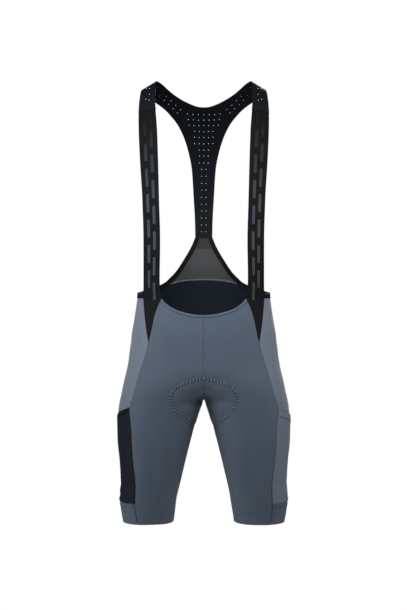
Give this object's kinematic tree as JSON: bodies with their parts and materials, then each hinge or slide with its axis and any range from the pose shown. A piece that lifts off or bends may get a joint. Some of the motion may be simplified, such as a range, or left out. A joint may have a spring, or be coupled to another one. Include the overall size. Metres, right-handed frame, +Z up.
{
  "type": "cycling bib shorts",
  "caption": "Fitted cycling shorts held by shoulder straps that join a narrow perforated back yoke, with a low front, a padded seat and thigh pockets, filled out as worn.",
  "frame": {"origin": "midway between the two shoulder crests, at the height where the straps rest on the wearer's shoulders", "axes": "+Z up towards the head, -Y towards the wearer's front, +X towards the wearer's left"},
  "size_m": [0.3648, 0.227, 0.9236],
  "materials": {
    "body_knit": "smooth stretch knit with a slight sheen, slate blue",
    "side_knit": "smooth stretch knit with a slight sheen, lighter slate blue",
    "pocket_mesh": "matt fine-ribbed stretch mesh, near black",
    "elastic": "matt woven elastic, black",
    "yoke_knit": "bonded perforated stretch knit, black",
    "back_mesh": "matt stretch mesh, dark grey",
    "pad_foam": "soft brushed cover over foam, near black"
  },
  "bodies": {
    "root": {"front_left": "body_knit", "front_right": "body_knit", "side_left": "side_knit", "side_right": "side_knit", "cuff_left": "body_knit", "cuff_right": "body_knit", "back_left": "body_knit", "back_right": "body_knit", "pocket_left": "side_knit", "pocket_right": "pocket_mesh", "pocket_band_left": "side_knit", "pocket_band_right": "elastic", "strap_left": "elastic", "strap_right": "elastic", "tape_left": "elastic", "tape_right": "elastic", "yoke": "yoke_knit", "mesh_insert": "back_mesh", "seat_pad": "pad_foam"}
  },
  "joints": []
}
